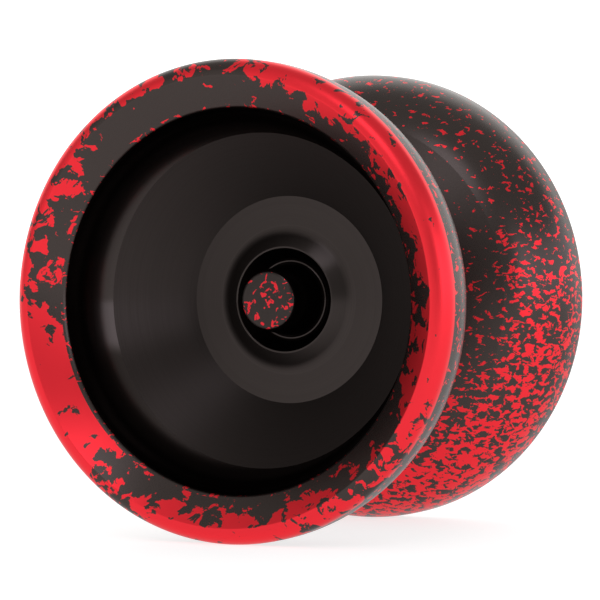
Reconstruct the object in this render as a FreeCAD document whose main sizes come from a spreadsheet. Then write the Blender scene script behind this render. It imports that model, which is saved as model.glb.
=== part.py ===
import FreeCAD, Part
import math
import os
import re

import Sketcher

# A full-metal ball-bearing yo-yo. Everything is turned about one axle, which lies along Y.
# The origin is the middle of the string gap, the front half is on the -Y side and the rear
# half on the +Y side, and +Z is up. The two halves are the same part, turned end for end.
# A "station" is a distance from the middle of the gap, measured along the axle.

SIZES = {
    # outside of a half
    "rim_radius": 28.1,            # largest radius
    "band_start": 18.6,            # where the belly arc reaches the rim radius
    "band_end": 20.0,              # where the corner arc leaves the rim radius
    "lip_radius": 26.1,            # outermost edge of the half
    "lip_station": 22.1,
    "crease_radius": 22.3,         # turned edge between the belly and the flank
    "crease_station": 9.0,
    "root_radius": 15.5,           # where the flank meets the hub cone
    "root_station": 6.5,
    "wall_radius": 11.2,           # flat wall beside the string
    "wall_station": 2.2,
    # cup of a half
    "mouth_radius": 22.4,          # inner edge of the dished rim face
    "mouth_station": 19.2,
    "foot_radius": 19.8,           # where the hollow cup wall runs into the cup floor
    "foot_station": 12.5,
    "disc_radius": 12.45,          # edge of the flat hub disc
    "disc_station": 4.95,
    "flare_radius": 8.3,           # where the disc starts to rise towards the recess
    "recess_radius": 6.25,         # lip of the round recess
    "recess_edge": 6.2,
    "groove_radius": 4.5,          # bottom of the V groove round the nub
    "groove_station": 3.7,
    "nub_radius": 3.5,             # tapered finger nub in the middle of the recess
    "nub_top": 10.45,
    # rounded edges of a half
    "lip_round": 0.2,
    "mouth_round": 0.9,
    "root_round": 4.0,
    "crease_round": 0.2,
    "wall_round": 0.6,
    "flare_round": 2.5,
    "recess_round": 0.25,
    "groove_round": 0.25,
    "nub_round": 0.5,
    "overcut": 0.5,                # how far a cut or a joined boss runs past a surface
    # bearing seat and tapped bore of a half
    "relief_radius": 6.75,         # clearance pocket round the outer race
    "relief_floor": 2.62,
    "shoulder_radius": 3.9,        # the inner race stands on this shoulder
    "shoulder_station": 2.4,
    "post_radius": 3.155,          # slip fit in the inner race
    "post_end": 0.2,
    "edge_break": 0.25,
    "bore_radius": 2.03,           # tapped bore, drawn plain at the screw's major radius
    "bore_end": 8.4,
    "bore_tip": 9.6,               # point of the drilled cone
    # response pad and its seat
    "pad_inner": 7.35,
    "pad_outer": 9.6,
    "pad_floor": 3.35,
    "pad_face": 2.25,
    # axle: M4 x 16 set screw
    "screw_radius": 2.0,
    "screw_length": 16.0,
    "screw_point": 0.45,           # chamfer at each end
    "socket_flats": 2.0,
    "socket_depth": 2.5,
    # ball bearing, 1/4 x 1/2 x 3/16 inch
    "bearing_bore": 3.175,
    "bearing_outside": 6.35,
    "bearing_half": 2.381,
    "inner_land": 4.25,
    "outer_land": 5.28,
    "race_chamfer": 0.2,
    "pitch_radius": 4.7625,
    "ball_radius": 0.794,
    "raceway_radius": 0.81,
    "cage_inner": 4.45,
    "cage_outer": 5.08,
    "cage_half": 1.05,
    "cage_pocket": 0.87,
    "step_radius": 5.72,           # step in each end of the outer race, for the shield
    "step_station": 1.55,
    "shield_inner": 4.4,
    "shield_thickness": 0.2,
    "snap_groove": 5.95,           # groove in which the snap ring springs out
    "snap_inner": 5.42,
    "snap_outer": 5.9,
    "snap_width": 0.35,
    "snap_angle": 335.0,           # the snap ring is cut open
}
BALL_COUNT = 10
TOLERANCE = 1e-4                   # mm or mm3
HALF_TURN = FreeCAD.Rotation(FreeCAD.Vector(0, 0, 1), 180)

doc = FreeCAD.newDocument("yoyo")
sheet = doc.addObject("Spreadsheet::Sheet", "Sizes")


def fill_sheet():
    """Write every driving dimension into the sheet, under its own alias."""
    for row, (alias, number) in enumerate(SIZES.items(), start=1):
        sheet.set(f"A{row}", alias)
        sheet.set(f"B{row}", str(number))
        sheet.setAlias(f"B{row}", alias)
    doc.recompute()


def bound(formula):
    """Turn a formula of plain aliases into one that reads the sheet's cells."""
    return re.sub(r"[a-z_]{3,}", lambda word: prefixed(word.group()), formula)


def prefixed(word):
    return f"Sizes.{word}" if word in SIZES else word


def number(formula):
    """The present value of a formula of aliases."""
    return float(sheet.evalExpression(bound(formula)))


def new_body(name):
    body = doc.addObject("PartDesign::Body", name)
    body.Label = name
    return body


def new_sketch(body, name, plane):
    """A sketch on one of the body's own origin planes."""
    sketch = body.newObject("Sketcher::SketchObject", name)
    support = next(item for item in body.Origin.OriginFeatures if item.Role == plane)
    sketch.AttachmentSupport = [(support, "")]
    sketch.MapMode = "FlatFace"
    return sketch


def place_point(sketch, geometry, end, across, along):
    """Tie one end of a sketch line to the sheet; across is x and along is y."""
    for kind, formula, axis in (("DistanceX", across, -2), ("DistanceY", along, -1)):
        if formula == "0":
            sketch.addConstraint(Sketcher.Constraint("PointOnObject", geometry, end, axis))
            continue
        rule = Sketcher.Constraint(kind, -1, 1, geometry, end, number(formula))
        index = sketch.addConstraint(rule)
        sketch.setExpression(f"Constraints[{index}]", bound(formula))


def tangent_arc(start, end, touch, heading):
    """An arc from start to end that runs along heading at the end called touch.

    Returns the arc and whether it is travelled clockwise, as sketch arcs never are.
    """
    far = end if touch is start else start
    leftward = FreeCAD.Vector(-heading.y, heading.x, 0)
    offset = far - touch
    reach = offset.dot(offset) / (2 * offset.dot(leftward))
    centre = touch + leftward * reach
    angles = [math.atan2(point.y - centre.y, point.x - centre.x) for point in (start, end)]
    clockwise = reach < 0
    if clockwise:
        angles.reverse()
    circle = Part.Circle(centre, FreeCAD.Vector(0, 0, 1), abs(reach))
    return Part.ArcOfCircle(circle, angles[0], angles[1]), clockwise


def draw_outline(sketch, corners, arcs=None):
    """Draw a closed outline through (radius, station) formulas.

    arcs says which sides are arcs, by the number of the corner that the side leaves, and
    whether that arc is tangent to its neighbour at its "end" or at its "start".
    """
    arcs = arcs or {}
    points = [FreeCAD.Vector(number(x), number(y), 0) for x, y in corners]
    count = len(points)
    ends = []
    for side, start in enumerate(points):
        end = points[(side + 1) % count]
        clockwise = False
        if arcs.get(side) == "end":
            heading = (points[(side + 2) % count] - end).normalize()
            arc, clockwise = tangent_arc(start, end, end, heading)
            sketch.addGeometry(arc)
        elif arcs.get(side) == "start":
            heading = (start - points[side - 1]).normalize()
            arc, clockwise = tangent_arc(start, end, start, heading)
            sketch.addGeometry(arc)
        else:
            sketch.addGeometry(Part.LineSegment(start, end))
        ends.append((2, 1) if clockwise else (1, 2))
    for side in range(count):
        following = (side + 1) % count
        smooth = arcs.get(side) == "end" or arcs.get(following) == "start"
        kind = "Tangent" if smooth else "Coincident"
        rule = Sketcher.Constraint(kind, side, ends[side][1], following, ends[following][0])
        sketch.addConstraint(rule)
    for side, (across, along) in enumerate(corners):
        place_point(sketch, side, ends[side][0], across, along)


def draw_circle(sketch, across, along, radius):
    centre = FreeCAD.Vector(number(across), number(along), 0)
    sketch.addGeometry(Part.Circle(centre, FreeCAD.Vector(0, 0, 1), number(radius)))
    place_point(sketch, 0, 3, across, along)
    index = sketch.addConstraint(Sketcher.Constraint("Radius", 0, number(radius)))
    sketch.setExpression(f"Constraints[{index}]", bound(radius))


def turn(body, name, kind, corners, arcs=None):
    """Revolve (add) or Groove (cut) an outline about the axle."""
    sketch = new_sketch(body, f"{name}_outline", "XY_Plane")
    draw_outline(sketch, corners, arcs)
    return spin_sketch(body, name, kind, sketch)


def spin_sketch(body, name, kind, sketch):
    """Turn a finished sketch about the axle, as added or as cut material."""
    doc.recompute()
    before = body.Shape.Volume if body.Tip else 0.0
    feature = body.newObject(f"PartDesign::{kind}", name)
    feature.Profile = sketch
    feature.ReferenceAxis = (sketch, ["V_Axis"])
    feature.Angle = 360.0
    body.Tip = feature
    doc.recompute()
    gained = body.Shape.Volume - before
    if (gained > 0) != (kind == "Revolution"):
        raise RuntimeError(f"{name} changed the volume by {gained:.3f}")
    return feature


def ring_edge(shape, across, along):
    """Name of the circular edge at a radius and a station."""
    radius, station = number(across), number(along)
    for index, edge in enumerate(shape.Edges, start=1):
        curve = edge.Curve
        if not isinstance(curve, Part.Circle):
            continue
        if abs(curve.Radius - radius) < TOLERANCE and abs(curve.Center.y - station) < TOLERANCE:
            return f"Edge{index}"
    raise RuntimeError(f"no edge at radius {radius}, station {station}")


def round_edge(body, name, size, *rings):
    """Fillet one or more circular edges by a size from the sheet."""
    base = body.Tip
    names = [ring_edge(base.Shape, across, along) for across, along in rings]
    fillet = body.newObject("PartDesign::Fillet", name)
    fillet.Base = (base, names)
    fillet.Radius = number(size)
    fillet.setExpression("Radius", bound(size))
    body.Tip = fillet
    doc.recompute()


def box_outline(inner, outer, low, high):
    """Corners of a rectangle between two radii and two stations."""
    return [(inner, low), (outer, low), (outer, high), (inner, high)]


# ---------------------------------------------------------------- the two halves

def make_half(name, rotation):
    """One machined half: rim, cup, hub, bearing seat, pad seat and tapped bore."""
    body = new_body(name)
    turn(body, "blank", "Revolution", [
        ("0", "wall_station"),
        ("wall_radius", "wall_station"),
        ("root_radius", "root_station"),
        ("crease_radius", "crease_station"),
        ("rim_radius", "band_start"),
        ("rim_radius", "band_end"),
        ("lip_radius", "lip_station"),
        ("mouth_radius", "mouth_station"),
        ("foot_radius", "foot_station"),
        ("disc_radius", "disc_station"),
        ("flare_radius", "disc_station"),
        ("recess_radius", "recess_edge"),
        ("groove_radius", "groove_station"),
        ("nub_radius", "nub_top"),
        ("0", "nub_top"),
    ], arcs={3: "end", 5: "start", 7: "end"})
    round_edge(body, "lip_fillet", "lip_round", ("lip_radius", "lip_station"))
    round_edge(body, "mouth_fillet", "mouth_round", ("mouth_radius", "mouth_station"))
    round_edge(body, "root_fillet", "root_round", ("root_radius", "root_station"))
    round_edge(body, "crease_fillet", "crease_round", ("crease_radius", "crease_station"))
    round_edge(body, "wall_fillet", "wall_round", ("wall_radius", "wall_station"))
    round_edge(body, "flare_fillet", "flare_round", ("flare_radius", "disc_station"))
    round_edge(body, "recess_fillet", "recess_round", ("recess_radius", "recess_edge"))
    round_edge(body, "groove_fillet", "groove_round", ("groove_radius", "groove_station"))
    round_edge(body, "nub_fillet", "nub_round", ("nub_radius", "nub_top"))
    make_bearing_seat(body)
    turn(body, "pad_seat", "Groove",
         box_outline("pad_inner", "pad_outer", "wall_station - overcut", "pad_floor"))
    turn(body, "tapped_bore", "Groove", [
        ("0", "0"),
        ("bore_radius + edge_break", "0"),
        ("bore_radius + edge_break", "post_end"),
        ("bore_radius", "post_end + edge_break"),
        ("bore_radius", "bore_end"),
        ("0", "bore_tip"),
    ])
    body.Placement = FreeCAD.Placement(FreeCAD.Vector(0, 0, 0), rotation)
    return body


def make_bearing_seat(body):
    """Relief round the outer race, then the shoulder and the post that carry the inner race."""
    turn(body, "bearing_relief", "Groove",
         box_outline("0", "relief_radius", "wall_station - overcut", "relief_floor"))
    turn(body, "bearing_post", "Revolution", [
        ("0", "post_end"),
        ("post_radius - edge_break", "post_end"),
        ("post_radius", "post_end + edge_break"),
        ("post_radius", "shoulder_station"),
        ("shoulder_radius", "shoulder_station"),
        ("shoulder_radius", "relief_floor + overcut"),
        ("0", "relief_floor + overcut"),
    ])


def make_pad(name, rotation):
    """Flat silicone ring that fills the seat and stands just below the wall."""
    body = new_body(name)
    turn(body, "ring", "Revolution", box_outline("pad_inner", "pad_outer", "pad_face", "pad_floor"))
    body.Placement = FreeCAD.Placement(FreeCAD.Vector(0, 0, 0), rotation)
    return body


# ---------------------------------------------------------------- the axle

def make_axle(name):
    """Set screw, chamfered at both ends, with a hexagon socket in its front end."""
    body = new_body(name)
    turn(body, "shank", "Revolution", [
        ("0", "0"),
        ("screw_radius - screw_point", "0"),
        ("screw_radius", "screw_point"),
        ("screw_radius", "screw_length - screw_point"),
        ("screw_radius - screw_point", "screw_length"),
        ("0", "screw_length"),
    ])
    cut_hex_socket(body)
    body.setExpression("Placement.Base.y", bound("-screw_length / 2"))
    return body


def cut_hex_socket(body):
    """A six-sided pocket, drawn on the end plane of the screw and cut along the axle."""
    sketch = new_sketch(body, "socket_outline", "XZ_Plane")
    corner_radius = number("socket_flats") / math.sqrt(3)
    corners = [FreeCAD.Vector(corner_radius * math.cos(math.radians(60 * step)),
                              corner_radius * math.sin(math.radians(60 * step)), 0)
               for step in range(6)]
    for side in range(6):
        sketch.addGeometry(Part.LineSegment(corners[side], corners[(side + 1) % 6]))
    centre = sketch.addGeometry(Part.Circle(FreeCAD.Vector(0, 0, 0), FreeCAD.Vector(0, 0, 1),
                                            corner_radius), True)
    for side in range(6):
        sketch.addConstraint(Sketcher.Constraint("Coincident", side, 2, (side + 1) % 6, 1))
        sketch.addConstraint(Sketcher.Constraint("PointOnObject", side, 1, centre))
    for side in range(5):
        sketch.addConstraint(Sketcher.Constraint("Equal", side, side + 1))
    sketch.addConstraint(Sketcher.Constraint("Coincident", centre, 3, -1, 1))
    sketch.addConstraint(Sketcher.Constraint("PointOnObject", 0, 1, -1))
    index = sketch.addConstraint(Sketcher.Constraint("Radius", centre, corner_radius))
    sketch.setExpression(f"Constraints[{index}]", bound("socket_flats / sqrt(3)"))
    doc.recompute()
    before = body.Shape.Volume
    pocket = body.newObject("PartDesign::Pocket", "socket")
    pocket.Profile = sketch
    pocket.Length = number("socket_depth")
    pocket.setExpression("Length", bound("socket_depth"))
    body.Tip = pocket
    doc.recompute()
    if body.Shape.Volume >= before - TOLERANCE:
        pocket.Reversed = True
        doc.recompute()
    if body.Shape.Volume >= before - TOLERANCE:
        raise RuntimeError("the socket cuts nothing")


# ---------------------------------------------------------------- the ball bearing

def cut_raceway(body):
    """Round track for the balls, on the pitch circle in the bearing's middle plane."""
    sketch = new_sketch(body, "raceway_outline", "XY_Plane")
    draw_circle(sketch, "pitch_radius", "bearing_half", "raceway_radius")
    spin_sketch(body, "raceway", "Groove", sketch)


def chamfered_ring(inner, outer, length, bevel):
    """Corners of a ring whose four edges are bevelled."""
    return [
        (f"{inner} + {bevel}", "0"),
        (f"{outer} - {bevel}", "0"),
        (outer, bevel),
        (outer, f"{length} - {bevel}"),
        (f"{outer} - {bevel}", length),
        (f"{inner} + {bevel}", length),
        (inner, f"{length} - {bevel}"),
        (inner, bevel),
    ]


def make_inner_race(name):
    body = new_body(name)
    turn(body, "blank", "Revolution",
         chamfered_ring("bearing_bore", "inner_land", "2 * bearing_half", "race_chamfer"))
    cut_raceway(body)
    body.setExpression("Placement.Base.y", bound("-bearing_half"))
    return body


def make_outer_race(name):
    """Outer race, stepped and grooved at both ends for its shields and snap rings."""
    body = new_body(name)
    turn(body, "blank", "Revolution",
         chamfered_ring("outer_land", "bearing_outside", "2 * bearing_half", "race_chamfer"))
    cut_raceway(body)
    middle = "bearing_half"
    for side, sign in (("front", "-"), ("rear", "+")):
        step = f"{middle} {sign} step_station"
        face = f"{middle} {sign} (bearing_half + overcut)"
        turn(body, f"{side}_step", "Groove",
             box_outline("outer_land - overcut", "step_radius", *ordered(step, face)))
        near = f"{middle} {sign} (step_station + shield_thickness)"
        far = f"{middle} {sign} (step_station + shield_thickness + snap_width)"
        turn(body, f"{side}_snap_groove", "Groove",
             box_outline("step_radius - overcut", "snap_groove", *ordered(near, far)))
    body.setExpression("Placement.Base.y", bound("-bearing_half"))
    return body


def ordered(first, second):
    """Two stations, the lower one first."""
    return (first, second) if number(first) < number(second) else (second, first)


def make_cage(name):
    """Retainer ring with one round pocket for each ball."""
    body = new_body(name)
    turn(body, "ring", "Revolution", box_outline("cage_inner", "cage_outer", "0", "2 * cage_half"))
    sketch = new_sketch(body, "pocket_outline", "YZ_Plane")
    draw_circle(sketch, "cage_half", "0", "cage_pocket")
    doc.recompute()
    before = body.Shape.Volume
    pocket = body.newObject("PartDesign::Pocket", "ball_pocket")
    pocket.Profile = sketch
    pocket.Length = number("cage_outer + overcut")
    pocket.setExpression("Length", bound("cage_outer + overcut"))
    body.Tip = pocket
    doc.recompute()
    one_pocket = before - body.Shape.Volume
    pattern = body.newObject("PartDesign::PolarPattern", "ball_pockets")
    pattern.Originals = [pocket]
    pattern.Axis = (body.Group[0], ["V_Axis"])
    pattern.Angle = 360.0
    pattern.Occurrences = BALL_COUNT
    body.Tip = pattern
    doc.recompute()
    if round((before - body.Shape.Volume) / one_pocket) != BALL_COUNT:
        raise RuntimeError("the cage has the wrong number of pockets")
    body.setExpression("Placement.Base.y", bound("-cage_half"))
    return body


def make_ball(name, angle):
    """A ball on the pitch circle, at an angle from +X towards +Z."""
    ball = doc.addObject("Part::Sphere", name)
    ball.Label = name
    ball.setExpression("Radius", bound("ball_radius"))
    ball.setExpression("Placement.Base.x", bound(f"pitch_radius * cos({angle} deg)"))
    ball.setExpression("Placement.Base.z", bound(f"pitch_radius * sin({angle} deg)"))
    return ball


def make_shield(name, rotation):
    """Thin pressed washer that closes one end of the bearing."""
    body = new_body(name)
    turn(body, "washer", "Revolution",
         box_outline("shield_inner", "step_radius", "step_station",
                     "step_station + shield_thickness"))
    body.Placement = FreeCAD.Placement(FreeCAD.Vector(0, 0, 0), rotation)
    return body


def make_snap_ring(name, rotation):
    """Open wire ring that springs into the outer race and holds the shield."""
    body = new_body(name)
    ring = turn(body, "wire", "Revolution",
                box_outline("snap_inner", "snap_outer", "step_station + shield_thickness",
                            "step_station + shield_thickness + snap_width"))
    ring.setExpression("Angle", bound("snap_angle"))
    doc.recompute()
    body.Placement = FreeCAD.Placement(FreeCAD.Vector(0, 0, 0), rotation)
    return body


# ---------------------------------------------------------------- the assembly

def make_parts():
    """Every piece of the yo-yo, front side first."""
    straight = FreeCAD.Rotation()
    parts = []
    for side, rotation in (("front", HALF_TURN), ("rear", straight)):
        parts.append(make_half(f"{side}_half", rotation))
        parts.append(make_pad(f"{side}_response_pad", rotation))
        parts.append(make_shield(f"{side}_bearing_shield", rotation))
        parts.append(make_snap_ring(f"{side}_snap_ring", rotation))
    parts.append(make_axle("axle_screw"))
    parts.append(make_inner_race("bearing_inner_race"))
    parts.append(make_outer_race("bearing_outer_race"))
    parts.append(make_cage("bearing_cage"))
    for index in range(BALL_COUNT):
        parts.append(make_ball(f"bearing_ball_{index + 1:02d}", 360 * index / BALL_COUNT))
    return parts


def check_document(parts):
    """Stop if any object of the document failed or any sub-part has no sound shape."""
    for item in doc.Objects:
        if {"Invalid", "Error"} & set(item.State):
            raise RuntimeError(f"{item.Name} failed: {item.State}")
    for part in parts:
        shape = part.Shape
        if shape.isNull() or not shape.isValid() or len(shape.Solids) != 1:
            raise RuntimeError(f"{part.Label} has no sound shape")


def export(parts):
    os.makedirs("parts", exist_ok=True)
    for part in parts:
        part.Shape.exportStep(f"parts/{part.Label}.step")
        box = part.Shape.optimalBoundingBox()
        print(f"{part.Label}: {part.Shape.Volume:.2f} mm3, y {box.YMin:.2f} to {box.YMax:.2f}")


fill_sheet()
all_parts = make_parts()
doc.recompute()
check_document(all_parts)
export(all_parts)
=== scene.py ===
import math

import bmesh
import bpy
from mathutils import Matrix, Vector


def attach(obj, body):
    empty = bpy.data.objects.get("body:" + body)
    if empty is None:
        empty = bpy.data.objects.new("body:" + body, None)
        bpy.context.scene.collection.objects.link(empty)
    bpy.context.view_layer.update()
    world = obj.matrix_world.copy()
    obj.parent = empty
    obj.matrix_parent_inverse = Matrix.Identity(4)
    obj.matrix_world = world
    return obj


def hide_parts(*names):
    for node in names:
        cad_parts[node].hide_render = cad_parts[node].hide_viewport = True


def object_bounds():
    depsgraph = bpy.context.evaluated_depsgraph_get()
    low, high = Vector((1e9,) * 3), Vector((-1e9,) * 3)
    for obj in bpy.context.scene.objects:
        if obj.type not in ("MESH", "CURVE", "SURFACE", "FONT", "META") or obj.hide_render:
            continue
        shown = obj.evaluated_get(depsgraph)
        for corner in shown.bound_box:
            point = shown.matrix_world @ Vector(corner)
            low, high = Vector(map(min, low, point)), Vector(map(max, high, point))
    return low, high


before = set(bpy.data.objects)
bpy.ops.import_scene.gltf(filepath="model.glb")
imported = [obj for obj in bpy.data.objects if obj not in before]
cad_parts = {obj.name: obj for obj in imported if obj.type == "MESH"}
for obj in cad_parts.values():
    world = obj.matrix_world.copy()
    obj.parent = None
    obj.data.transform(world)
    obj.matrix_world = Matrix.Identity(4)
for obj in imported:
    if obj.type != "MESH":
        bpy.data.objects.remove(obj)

# A metal yo-yo, splash-anodised black and red, standing on both rims on a pale floor.
# The axle lies along Y, +Z is up, and the origin is the middle of the string gap. Lengths
# are in millimetres until a mesh is made, and a "station" is a distance along the axle.

CAD_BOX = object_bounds()
MM = 0.001
FLOOR_HEIGHT = CAD_BOX[0].z


# ---------------------------------------------------------------- node helpers

class Nodes:
    """A short way to write a node tree: each call adds one node and returns its output."""

    def __init__(self, tree):
        self.tree = tree
        self.tree.nodes.clear()

    def add(self, kind, **settings):
        made = self.tree.nodes.new(kind)
        for name, value in settings.items():
            setattr(made, name, value)
        return made

    def plug(self, socket, value):
        """Feed a socket from another node's output, or set its own value."""
        if isinstance(value, bpy.types.NodeSocket):
            self.tree.links.new(value, socket)
        else:
            socket.default_value = value

    def math(self, operation, *values):
        made = self.add("ShaderNodeMath", operation=operation)
        for socket, value in zip(made.inputs, values):
            self.plug(socket, value)
        return made.outputs[0]

    def product(self, *values):
        result = values[0]
        for value in values[1:]:
            result = self.math("MULTIPLY", result, value)
        return result

    def vector(self, operation, *values):
        made = self.add("ShaderNodeVectorMath", operation=operation)
        for socket, value in zip(made.inputs, values):
            self.plug(socket, value)
        return made.outputs["Value" if operation in ("DOT_PRODUCT", "LENGTH") else "Vector"]

    def scaled(self, vector, factor):
        made = self.add("ShaderNodeVectorMath", operation="SCALE")
        self.plug(made.inputs[0], vector)
        self.plug(made.inputs["Scale"], factor)
        return made.outputs["Vector"]

    def split(self, vector):
        made = self.add("ShaderNodeSeparateXYZ")
        self.plug(made.inputs[0], vector)
        return made.outputs

    def joined(self, x=0.0, y=0.0, z=0.0):
        made = self.add("ShaderNodeCombineXYZ")
        for socket, value in zip(made.inputs, (x, y, z)):
            self.plug(socket, value)
        return made.outputs[0]

    def ramp(self, value, low, high, start=0.0, end=1.0):
        """Smooth step of a value, from start at low to end at high."""
        made = self.add("ShaderNodeMapRange", interpolation_type="SMOOTHSTEP")
        for socket, given in zip(made.inputs, (value, low, high, start, end)):
            self.plug(socket, given)
        return made.outputs[0]

    def chart(self, value, stops):
        """Three values that follow one value from stop to stop: (place, first, second, third)."""
        made = self.add("ShaderNodeValToRGB")
        elements = made.color_ramp.elements
        while len(elements) < len(stops):
            elements.new(1.0)
        for element, (place, *values) in zip(elements, stops):
            element.position = place
            element.color = (*values, 1.0)
        self.plug(made.inputs[0], value)
        return self.split(made.outputs["Color"])

    def noise(self, vector, scale, detail=2.0, roughness=0.5, distortion=0.0):
        made = self.add("ShaderNodeTexNoise", noise_dimensions="3D")
        self.plug(made.inputs["Vector"], vector)
        for name, value in (("Scale", scale), ("Detail", detail), ("Roughness", roughness),
                            ("Distortion", distortion)):
            self.plug(made.inputs[name], value)
        return made.outputs["Fac"]

    def mix(self, factor, first, second):
        """Blend of two values."""
        made = self.add("ShaderNodeMix", data_type="FLOAT")
        for socket, value in zip((made.inputs[0], made.inputs[2], made.inputs[3]),
                                 (factor, first, second)):
            self.plug(socket, value)
        return made.outputs[0]

    def mix_colour(self, factor, first, second):
        made = self.add("ShaderNodeMix", data_type="RGBA")
        self.plug(made.inputs["Factor"], factor)
        colours = [socket for socket in made.inputs if socket.type == "RGBA"]
        self.plug(colours[0], first)
        self.plug(colours[1], second)
        return next(socket for socket in made.outputs if socket.type == "RGBA")

    def bump(self, height, strength, distance):
        made = self.add("ShaderNodeBump")
        self.plug(made.inputs["Height"], height)
        self.plug(made.inputs["Strength"], strength)
        self.plug(made.inputs["Distance"], distance)
        return made.outputs["Normal"]


def new_material(name):
    material = bpy.data.materials.new(name)
    material.use_nodes = True
    return material, Nodes(material.node_tree)


def finish_material(nodes, **inputs):
    """Principled shader with the given inputs, into the material's output."""
    shader = nodes.add("ShaderNodeBsdfPrincipled")
    for name, value in inputs.items():
        nodes.plug(shader.inputs[name.replace("_", " ")], value)
    output = nodes.add("ShaderNodeOutputMaterial")
    nodes.tree.links.new(shader.outputs[0], output.inputs["Surface"])
    return shader


class Place:
    """Where a shaded point is on the yo-yo, in millimetres, and in turns round the axle."""

    def __init__(self, nodes):
        self.nodes = nodes
        coordinate = nodes.add("ShaderNodeTexCoord")
        self.point = nodes.scaled(coordinate.outputs["Object"], 1 / MM)
        across, self.along, up = nodes.split(self.point)
        self.radius = nodes.vector("LENGTH", nodes.joined(x=across, z=up))
        self.station = nodes.math("ABSOLUTE", self.along)
        angle = nodes.math("ARCTAN2", up, across)
        self.turn = nodes.math("FRACT", nodes.math("DIVIDE", angle, math.tau))

    def rings(self):
        """A vector that is the same all the way round the axle."""
        return self.nodes.joined(self.radius, self.along)

    def tall(self, factor):
        """The point with its height stretched, so that a pattern on it lies flat."""
        return self.nodes.vector("MULTIPLY", self.point, (1.0, 1.0, factor))


# ---------------------------------------------------------------- materials of the halves

BLACK_DYE = (0.056, 0.045, 0.042, 1.0)
RED_DYE = (0.80, 0.030, 0.042, 1.0)
CUP_BLACK = (0.045, 0.037, 0.035, 1.0)
CUP_BLACK_DARK = (0.0405, 0.0333, 0.0315, 1.0)
NUB_RED = (0.72, 0.030, 0.042, 1.0)
SATIN_ROUGHNESS = (0.26, 0.32)
RED_EXTRA_ROUGHNESS = 0.06
CIRCUMFERENTIAL = 0.25          # quarter turn: rougher across the turning marks than along them
THRESHOLD_SPREAD = 0.52         # how far the share of red moves the noise threshold
FLAKE_EDGE = 0.006              # half width of the soft border of a flake

BELLY_SHARE = 0.30              # share of red on the front half's belly
NUB_SHARE = 0.30
BELLY_END = 19.6                # station where the fine flakes of the belly stop

# Share of red round the front half, in turns from +X towards +Z: on the inner part of the
# dished face, on its outer part, and on the bevel outside the lip.
FRONT_SHARES = [
    (0.000, 0.45, 0.62, 0.80),
    (0.080, 0.40, 0.62, 0.80),
    (0.110, 0.25, 0.60, 0.75),
    (0.220, 0.18, 0.52, 0.68),
    (0.245, 0.10, 0.18, 0.30),
    (0.310, 0.08, 0.16, 0.58),
    (0.350, 0.12, 0.26, 0.50),
    (0.390, 0.32, 0.48, 0.62),
    (0.450, 0.36, 0.46, 0.60),
    (0.500, 0.42, 0.50, 0.66),
    (0.540, 0.74, 0.76, 0.82),
    (0.620, 0.76, 0.80, 0.86),
    (0.645, 0.26, 0.30, 0.42),
    (0.670, 0.40, 0.50, 0.60),
    (0.725, 0.30, 0.60, 0.72),
    (0.830, 0.28, 0.56, 0.68),
    (0.855, 0.20, 0.38, 0.42),
    (0.910, 0.26, 0.44, 0.62),
    (0.940, 0.42, 0.62, 0.78),
    (1.000, 0.45, 0.62, 0.80),
]
# Share of red round the rear half: on the flank, on the belly, and near the rim.
REAR_SHARES = [
    (0.00, 0.30, 0.42, 0.40),
    (0.08, 0.20, 0.30, 0.28),
    (0.20, 0.16, 0.25, 0.26),
    (0.50, 0.25, 0.35, 0.40),
    (0.75, 0.45, 0.55, 0.45),
    (0.86, 0.42, 0.56, 0.45),
    (0.94, 0.34, 0.48, 0.42),
    (1.00, 0.30, 0.42, 0.40),
]


def flakes(nodes, field, share):
    """1 where a noise field lies above the threshold that leaves this share of red."""
    shift = nodes.math("MULTIPLY_ADD", share, THRESHOLD_SPREAD, -THRESHOLD_SPREAD / 2)
    return nodes.ramp(nodes.math("ADD", field, shift), 0.5 - FLAKE_EDGE, 0.5 + FLAKE_EDGE)


def fine_flakes(nodes, place, share):
    """Small flat flakes, as on the belly of a half."""
    small = nodes.noise(place.tall(1.5), 1.0, detail=3.0, roughness=0.6, distortion=0.5)
    return flakes(nodes, small, share)


def front_splash(nodes, place):
    """Blobs of a few millimetres on the face, and small flakes on the belly."""
    inner, outer, bevel = nodes.chart(place.turn, FRONT_SHARES)
    share = nodes.mix(nodes.ramp(place.radius, 23.4, 25.6), inner, outer)
    share = nodes.mix(nodes.ramp(place.radius, 25.9, 26.4), share, bevel)
    blobs = nodes.noise(place.point, 0.50, detail=4.0, roughness=0.6, distortion=0.5)
    belly = nodes.math("LESS_THAN", place.station, BELLY_END)
    return nodes.mix(belly, flakes(nodes, blobs, share), fine_flakes(nodes, place, BELLY_SHARE))


def rear_splash(nodes, place):
    """Small flakes, with a share of red that changes round the half and towards the rim."""
    flank, belly, rim = nodes.chart(place.turn, REAR_SHARES)
    share = nodes.mix(nodes.ramp(place.radius, 22.0, 23.5), flank, belly)
    share = nodes.mix(nodes.ramp(place.station, 16.0, 19.0), share, rim)
    return fine_flakes(nodes, place, share)


def anodised(name, splash):
    """Satin anodised aluminium: red flakes through black."""
    material, nodes = new_material(name)
    place = Place(nodes)
    red = splash(nodes, place)
    grain = nodes.noise(place.point, 14.0, detail=2.0)
    satin = nodes.ramp(grain, 0.3, 0.7, *SATIN_ROUGHNESS)
    finish_material(
        nodes,
        Base_Color=nodes.mix_colour(red, BLACK_DYE, RED_DYE),
        Metallic=1.0,
        Roughness=nodes.math("MULTIPLY_ADD", red, RED_EXTRA_ROUGHNESS, satin),
        Specular_Tint=(0.85, 0.85, 0.85, 1.0),
        Normal=nodes.bump(grain, 0.12, 0.00001),
    )
    return material


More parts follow.
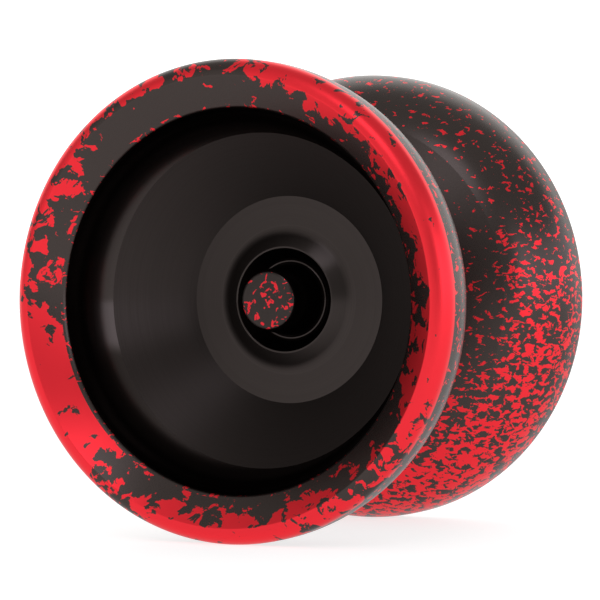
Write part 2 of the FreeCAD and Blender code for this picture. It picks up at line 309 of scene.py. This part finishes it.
def turned_black(name, roughness, marks, spots=None):
    """Black anodised metal with fine turning marks round the axle."""
    material, nodes = new_material(name)
    place = Place(nodes)
    rings = nodes.noise(place.rings(), 7.0, detail=4.0, roughness=0.7)
    tangent = nodes.add("ShaderNodeTangent", direction_type="RADIAL", axis="Y")
    colour = nodes.mix_colour(nodes.ramp(rings, 0.3, 0.7), CUP_BLACK, CUP_BLACK_DARK)
    if spots:
        colour = nodes.mix_colour(spots(nodes, place), colour, NUB_RED)
    finish_material(
        nodes,
        Base_Color=colour,
        Metallic=1.0,
        Roughness=nodes.ramp(rings, 0.3, 0.7, roughness * 0.94, roughness * 1.06),
        Specular_Tint=(0.5, 0.5, 0.5, 1.0),
        Anisotropic=0.75,
        Anisotropic_Rotation=CIRCUMFERENTIAL,
        Tangent=tangent.outputs[0],
        Normal=nodes.bump(rings, marks, 0.00001),
    )
    return material


def nub_flakes(nodes, place):
    """A few red flakes on the tip of the nub."""
    field = nodes.noise(place.point, 1.3, detail=2.0, roughness=0.5, distortion=0.8)
    return flakes(nodes, field, NUB_SHARE)


def half_materials(side, splash):
    """A half's finishes by zone, in the order of its material slots."""
    return {
        "outside": anodised(f"anodise_{side}", splash),
        "cup_wall": turned_black(f"cup_wall_{side}", 0.16, 0.05),
        "cup_cone": turned_black(f"cup_cone_{side}", 0.42, 0.15),
        "hub_disc": turned_black(f"hub_disc_{side}", 0.30, 0.05),
        "groove": turned_black(f"groove_{side}", 0.18, 0.05),
        "nub_tip": turned_black(f"nub_tip_{side}", 0.34, 0.05, nub_flakes),
        "bearing_seat": turned_black(f"bearing_seat_{side}", 0.30, 0.2),
    }


# ---------------------------------------------------------------- the turned halves

SEGMENTS = 288
ARC_STEPS = 24
FILLET_STEPS = 8
SHARP_EDGE = math.radians(24)   # an edge that turns more than this is shaded sharp
ON_AXLE = 1e-6                  # a smaller radius is one point on the axle

# Outline of a half from the drilled point of its bore, past the string side and the rim, to
# the tip of its nub: radius, station, edge radius, and the zone of the surface that follows.
# "arc_end" and "arc_start" mark a surface that is an arc, tangent to its neighbour there.
HALF_OUTLINE = [
    (0.0, 9.6, 0.0, "bearing_seat", ""),
    (2.03, 8.4, 0.0, "bearing_seat", ""),
    (2.03, 0.45, 0.0, "bearing_seat", ""),
    (2.28, 0.2, 0.0, "bearing_seat", ""),
    (2.905, 0.2, 0.0, "bearing_seat", ""),
    (3.155, 0.45, 0.0, "bearing_seat", ""),
    (3.155, 2.4, 0.0, "bearing_seat", ""),
    (3.9, 2.4, 0.0, "bearing_seat", ""),
    (3.9, 2.62, 0.0, "bearing_seat", ""),
    (6.75, 2.62, 0.0, "bearing_seat", ""),
    (6.75, 2.2, 0.0, "outside", ""),
    (7.35, 2.2, 0.0, "bearing_seat", ""),
    (7.35, 3.35, 0.0, "bearing_seat", ""),
    (9.6, 3.35, 0.0, "bearing_seat", ""),
    (9.6, 2.2, 0.0, "outside", ""),
    (11.2, 2.2, 0.6, "outside", ""),
    (15.5, 6.5, 4.0, "outside", ""),
    (22.3, 9.0, 0.2, "outside", "arc_end"),
    (28.1, 18.6, 0.0, "outside", ""),
    (28.1, 20.0, 0.0, "outside", "arc_start"),
    (26.1, 22.1, 0.2, "outside", ""),
    (22.4, 19.2, 0.9, "cup_wall", "arc_end"),
    (19.8, 12.5, 0.0, "cup_cone", ""),
    (12.45, 4.95, 0.0, "hub_disc", ""),
    (8.3, 4.95, 2.5, "hub_disc", ""),
    (6.25, 6.2, 0.25, "groove", ""),
    (4.5, 3.7, 0.25, "groove", ""),
    (3.5, 10.45, 0.5, "nub_tip", ""),
    (0.0, 10.45, 0.0, "nub_tip", ""),
]


def arc_points(start, end, touch, heading, steps):
    """Points from start to end along the arc that runs along heading at the end called touch."""
    far = end if touch is start else start
    leftward = Vector((-heading.y, heading.x))
    offset = far - touch
    reach = offset.length_squared / (2 * offset.dot(leftward))
    centre = touch + leftward * reach
    first, last = start - centre, end - centre
    sweep = math.atan2(first.x * last.y - first.y * last.x, first.dot(last))
    return [centre + Matrix.Rotation(sweep * step / steps, 2) @ first for step in range(steps)]


def rounded(corner, before, after, radius):
    """Points along a fillet of a corner between two straight neighbours."""
    arriving = (corner - before).normalized()
    leaving = (after - corner).normalized()
    turn = math.atan2(arriving.x * leaving.y - arriving.y * leaving.x, arriving.dot(leaving))
    reach = radius * math.tan(abs(turn) / 2)
    start, end = corner - arriving * reach, corner + leaving * reach
    points = arc_points(start, end, start, arriving, FILLET_STEPS)
    return points + [end], reach


def dense_outline(outline):
    """The outline as close points, each with the zone of the surface that follows it."""
    corners = [Vector(entry[:2]) for entry in outline]
    path = []
    for index, (start, entry) in enumerate(zip(corners[:-1], outline[:-1])):
        end = corners[index + 1]
        points = [start]
        if entry[4] == "arc_end":
            heading = (corners[index + 2] - end).normalized()
            points = arc_points(start, end, end, heading, ARC_STEPS)
        elif entry[4] == "arc_start":
            heading = (start - corners[index - 1]).normalized()
            points = arc_points(start, end, start, heading, ARC_STEPS)
        path += [(point, entry[3], entry[2] if point is points[0] else 0.0) for point in points]
    path.append((corners[-1], outline[-1][3], 0.0))
    return path


def fillet_path(path):
    """Round the marked corners of a dense outline and drop the points that the rounds cover."""
    result = []
    skip_until = None
    for index, (point, zone, radius) in enumerate(path):
        if skip_until and (point - skip_until[0]).length < skip_until[1]:
            continue
        skip_until = None
        if not radius:
            result.append((point, zone))
            continue
        points, reach = rounded(point, path[index - 1][0], path[index + 1][0], radius)
        while (result[-1][0] - point).length < reach:
            result.pop()
        arriving_zone = path[index - 1][1]
        middle = len(points) // 2
        result += [(near, arriving_zone if step < middle else zone)
                   for step, near in enumerate(points)]
        skip_until = (point, reach)
    return result


def turned_mesh(name, path, side, zones):
    """A mesh turned about the axle from a path of (radius, station) points and their zones."""
    build = bmesh.new()
    rings = []
    for point, _ in path:
        count = SEGMENTS if point.x > ON_AXLE else 1
        ring = []
        for step in range(count):
            angle = math.tau * step / count
            place = Vector((point.x * math.cos(angle), side * point.y, point.x * math.sin(angle)))
            ring.append(build.verts.new(place * MM))
        rings.append(ring)
    for (_, zone), ring, following in zip(path, rings, rings[1:]):
        for step in range(SEGMENTS):
            after = (step + 1) % SEGMENTS
            corners = [ring[step % len(ring)], ring[after % len(ring)],
                       following[after % len(following)], following[step % len(following)]]
            face = build.faces.new(list(dict.fromkeys(corners)))
            face.smooth = True
            face.material_index = zones.index(zone)
    bmesh.ops.recalc_face_normals(build, faces=build.faces)
    mesh = bpy.data.meshes.new(name)
    build.to_mesh(mesh)
    build.free()
    mesh.set_sharp_from_angle(angle=SHARP_EDGE)
    return mesh


def make_half(name, side, splash):
    """The visible skin of a half, finer than the CAD node that it stands for."""
    materials = half_materials(name, splash)
    path = fillet_path(dense_outline(HALF_OUTLINE))
    mesh = turned_mesh(f"{name}_skin", path, side, list(materials))
    for material in materials.values():
        mesh.materials.append(material)
    piece = bpy.data.objects.new(f"{name}_half_skin", mesh)
    bpy.context.scene.collection.objects.link(piece)
    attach(piece, name)
    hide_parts(f"{name}_half")


# ---------------------------------------------------------------- other materials

def turned_steel(name, colour, roughness, marks_scale, marks_strength):
    """Ground steel with fine marks round the axle."""
    material, nodes = new_material(name)
    place = Place(nodes)
    marks = nodes.noise(place.rings(), marks_scale, detail=3.0, roughness=0.6)
    smudge = nodes.noise(place.point, 0.8, detail=3.0)
    finish_material(
        nodes,
        Base_Color=colour,
        Metallic=1.0,
        Roughness=nodes.ramp(smudge, 0.3, 0.7, roughness * 0.8, roughness * 1.3),
        Normal=nodes.bump(marks, marks_strength, 0.00001),
    )
    return material


def silicone(name):
    """Soft cream response pad with a fine moulded grain and worn patches."""
    material, nodes = new_material(name)
    place = Place(nodes)
    grain = nodes.noise(place.point, 12.0, detail=4.0)
    wear = nodes.noise(place.point, 0.6, detail=3.0)
    colour = nodes.mix_colour(nodes.ramp(wear, 0.35, 0.7), (0.62, 0.60, 0.56, 1.0),
                              (0.50, 0.48, 0.45, 1.0))
    finish_material(
        nodes,
        Base_Color=colour,
        Roughness=nodes.ramp(wear, 0.3, 0.7, 0.5, 0.7),
        Subsurface_Weight=0.2,
        Subsurface_Scale=0.001,
        Normal=nodes.bump(grain, 0.4, 0.00003),
    )
    return material


def give(material, *names):
    """Put a material on CAD nodes in place of their own."""
    for name in names:
        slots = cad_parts[name].data.materials
        slots.clear()
        slots.append(material)


def dress_cad_nodes():
    give(silicone("pad_silicone"), "front_response_pad", "rear_response_pad")
    give(turned_steel("race_steel", (0.62, 0.62, 0.64, 1.0), 0.18, 12.0, 0.3),
         "bearing_inner_race", "bearing_outer_race")
    give(turned_steel("cage_steel", (0.50, 0.47, 0.40, 1.0), 0.35, 6.0, 0.3), "bearing_cage")
    give(turned_steel("shield_steel", (0.55, 0.56, 0.58, 1.0), 0.28, 8.0, 0.4),
         "front_bearing_shield", "rear_bearing_shield")
    give(turned_steel("spring_steel", (0.25, 0.25, 0.27, 1.0), 0.35, 6.0, 0.4),
         "front_snap_ring", "rear_snap_ring")
    give(turned_steel("ball_steel", (0.75, 0.75, 0.77, 1.0), 0.06, 2.0, 0.05),
         *[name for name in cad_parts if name.startswith("bearing_ball_")])
    give(turned_steel("screw_steel", (0.06, 0.06, 0.065, 1.0), 0.4, 5.0, 0.5), "axle_screw")


# ---------------------------------------------------------------- floor, light and camera

CAMERA_PLACE = (158.2, -323.6, 5.65)       # mm
CAMERA_HEADING = 26.17                     # degrees to the left of +Y
CAMERA_DIP = 0.92                          # degrees below level
CAMERA_ROLL = -0.46
CAMERA_LENS = 177.6
FLOOR_SIZE = 6.0                           # m
FLOOR_GLOW = 0.75                          # keeps the floor white and its shadows faint
SEEN_GLOW = 1.1                            # least glow of the tent where the camera sees it

# Parts of the tent. TOWARDS is a direction from the yo-yo, GLOW a brightness, and EDGE where
# a part begins and where it is full, in degrees from its middle. TOP is an edge by height on
# the unit sphere.
ROOM_GLOW = 0.56
OVERHEAD_GLOW, OVERHEAD_TOP = 0.66, (0.6, 0.9)
BACKDROP_TOWARDS, BACKDROP_GLOW = (-0.44, 0.90, 0.0), 1.65
BACKDROP_EDGE, BACKDROP_TOP = (66, 56), (0.78, 0.92)
SOFTBOX_TOWARDS, SOFTBOX_GLOW, SOFTBOX_EDGE = (0.20, -0.72, 0.67), 2.8, (15, 11)
FILL_TOWARDS, FILL_GLOW, FILL_EDGE = (-0.44, -0.90, 0.0), 0.90, (50, 20)
SHADE_TOWARDS, SHADE_GLOW, SHADE_EDGE = (0.48, -0.87, 0.0), 0.46, (24, 12)
PANEL_GLOW, PANEL_NEAR_GLOW, PANEL_TOP = 2.0, 2.7, (0.30, 0.42)
PANEL_START, PANEL_END = math.radians(-35), math.radians(62)      # azimuths from +X
PANEL_START_SOFTNESS, PANEL_END_SOFTNESS = 0.02, 0.1
WARM, COOL = (1.0, 0.985, 0.965, 1.0), (0.93, 0.93, 1.0, 1.0)


def make_floor():
    bpy.ops.mesh.primitive_plane_add(size=FLOOR_SIZE, location=(0, 0, FLOOR_HEIGHT))
    floor = bpy.context.object
    floor.name = "floor"
    material, nodes = new_material("floor_white")
    finish_material(nodes, Base_Color=(0.40, 0.40, 0.40, 1.0), Roughness=0.8,
                    Specular_IOR_Level=0.1, Emission_Color=(1.0, 1.0, 1.0, 1.0),
                    Emission_Strength=FLOOR_GLOW)
    floor.data.materials.append(material)


def patch(nodes, direction, towards, wide, narrow):
    """1 near a direction and 0 away from it, between two angles in degrees."""
    alignment = nodes.vector("DOT_PRODUCT", direction, tuple(Vector(towards).normalized()))
    return nodes.ramp(alignment, math.cos(math.radians(wide)), math.cos(math.radians(narrow)))


def make_world():
    """A white tent with a bright backdrop, a light panel to the right and a softbox in front."""
    world = bpy.data.worlds.new("tent")
    world.use_nodes = True
    nodes = Nodes(world.node_tree)
    direction = nodes.add("ShaderNodeTexCoord").outputs["Generated"]
    x, y, z = nodes.split(direction)
    azimuth = nodes.math("ARCTAN2", y, x)
    glow = nodes.mix(nodes.ramp(z, *OVERHEAD_TOP), ROOM_GLOW, OVERHEAD_GLOW)
    glow = nodes.mix(patch(nodes, direction, FILL_TOWARDS, *FILL_EDGE), glow, FILL_GLOW)
    glow = nodes.mix(patch(nodes, direction, SHADE_TOWARDS, *SHADE_EDGE), glow, SHADE_GLOW)
    backdrop = nodes.product(patch(nodes, direction, BACKDROP_TOWARDS, *BACKDROP_EDGE),
                             nodes.ramp(z, *BACKDROP_TOP, 1.0, 0.0))
    glow = nodes.mix(backdrop, glow, BACKDROP_GLOW)
    panel = nodes.product(
        nodes.ramp(azimuth, PANEL_START - PANEL_START_SOFTNESS, PANEL_START + PANEL_START_SOFTNESS),
        nodes.ramp(azimuth, PANEL_END - PANEL_END_SOFTNESS, PANEL_END + PANEL_END_SOFTNESS, 1.0, 0.0),
        nodes.ramp(z, *PANEL_TOP, 1.0, 0.0))
    panel_glow = nodes.ramp(azimuth, PANEL_START, 0.0, PANEL_NEAR_GLOW, PANEL_GLOW)
    glow = nodes.mix(panel, glow, panel_glow)
    softbox = patch(nodes, direction, SOFTBOX_TOWARDS, *SOFTBOX_EDGE)
    glow = nodes.mix(softbox, glow, SOFTBOX_GLOW)
    cool = nodes.math("MAXIMUM", panel, softbox)
    seen = nodes.add("ShaderNodeLightPath").outputs["Is Camera Ray"]
    background = nodes.add("ShaderNodeBackground")
    nodes.plug(background.inputs["Color"], nodes.mix_colour(cool, WARM, COOL))
    nodes.plug(background.inputs["Strength"],
               nodes.math("MAXIMUM", glow, nodes.math("MULTIPLY", seen, SEEN_GLOW)))
    output = nodes.add("ShaderNodeOutputWorld")
    nodes.tree.links.new(background.outputs[0], output.inputs["Surface"])
    bpy.context.scene.world = world


def make_camera():
    camera = bpy.data.cameras.new("camera")
    camera.lens = CAMERA_LENS
    camera.sensor_width = 36.0
    camera.clip_start = 0.01
    camera.clip_end = 20.0
    holder = bpy.data.objects.new("camera", camera)
    bpy.context.scene.collection.objects.link(holder)
    heading = Matrix.Rotation(math.radians(CAMERA_HEADING), 3, "Z")
    tilt = Matrix.Rotation(math.radians(90 - CAMERA_DIP), 3, "X")
    roll = Matrix.Rotation(math.radians(CAMERA_ROLL), 3, "Z")
    holder.rotation_euler = (heading @ tilt @ roll).to_euler()
    holder.location = Vector(CAMERA_PLACE) * MM
    bpy.context.scene.camera = holder


make_half("front", -1, front_splash)
make_half("rear", 1, rear_splash)
dress_cad_nodes()
make_floor()
make_world()
make_camera()
bpy.context.scene.view_settings.view_transform = "Standard"
